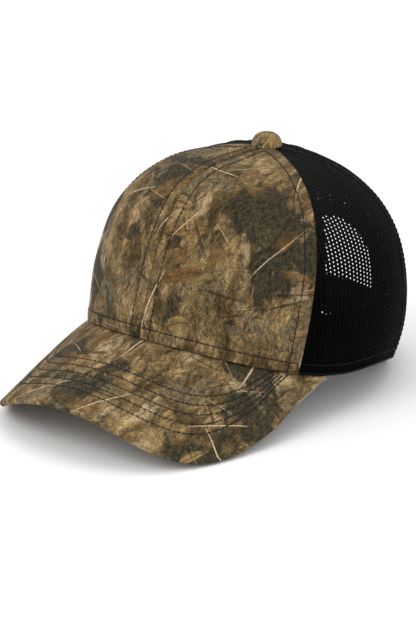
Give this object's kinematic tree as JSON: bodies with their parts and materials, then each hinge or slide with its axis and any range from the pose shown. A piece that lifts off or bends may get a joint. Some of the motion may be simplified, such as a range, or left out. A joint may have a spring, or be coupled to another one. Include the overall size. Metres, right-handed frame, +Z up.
{
  "type": "trucker mesh cap",
  "caption": "Cap with stiff printed cloth front panels, see-through mesh sides and back, a curved stitched visor, a covered button and a plastic snap closure.",
  "frame": {"origin": "middle of the cap's footprint, on the surface it stands on", "axes": "+Z up, the visor towards -Y, the wearer's left towards +X"},
  "size_m": [0.1706, 0.265, 0.1386],
  "materials": {
    "printed_twill": null,
    "black_mesh": "black knitted polyester mesh, open, slightly glossy threads",
    "black_tape": "black woven binding tape, matte",
    "buckram": "stiff off-white open weave",
    "sweatband_cloth": "black brushed cotton twill, matte",
    "label_cloth": "white satin ribbon, blank",
    "strap_plastic": "black moulded plastic, satin",
    "board_plastic": "white stiff plastic sheet",
    "button_metal": "plain stamped metal"
  },
  "bodies": {
    "crown": {"front_panel_left": "printed_twill", "front_panel_right": "printed_twill", "buckram_left": "buckram", "buckram_right": "buckram", "mesh_side_left": "black_mesh", "mesh_side_right": "black_mesh", "mesh_back_left": "black_mesh", "mesh_back_right": "black_mesh", "seam_tape_front": "black_tape", "seam_tape_side_left": "black_tape", "seam_tape_side_right": "black_tape", "seam_tape_back_left": "black_tape", "seam_tape_back_right": "black_tape", "seam_tape_back": "black_tape", "arch_binding": "black_tape", "sweatband": "sweatband_cloth", "care_label": "label_cloth", "visor_top_cover": "printed_twill", "visor_board": "board_plastic", "visor_under_cover": "printed_twill", "button_cover": "printed_twill", "button_shell": "button_metal", "button_rivet": "button_metal", "socket_anchor": "strap_plastic", "peg_anchor": "strap_plastic"},
    "socket_strap": {"socket_strap": "strap_plastic"},
    "peg_strap": {"peg_strap": "strap_plastic"}
  },
  "joints": [
    {"name": "socket_strap_swing", "type": "hinge", "parent": "crown", "child": "socket_strap", "pos_m": [0.02574, 0.12161, 0.0215], "axis": [0, 0, -1], "range_deg": [0, 40], "stiffness_Nm_per_rad": 0.01},
    {"name": "peg_strap_swing", "type": "hinge", "parent": "crown", "child": "peg_strap", "pos_m": [-0.0249, 0.11926, 0.0215], "axis": [0, 0, -1], "range_deg": [0, 30], "stiffness_Nm_per_rad": 0.01}
  ]
}
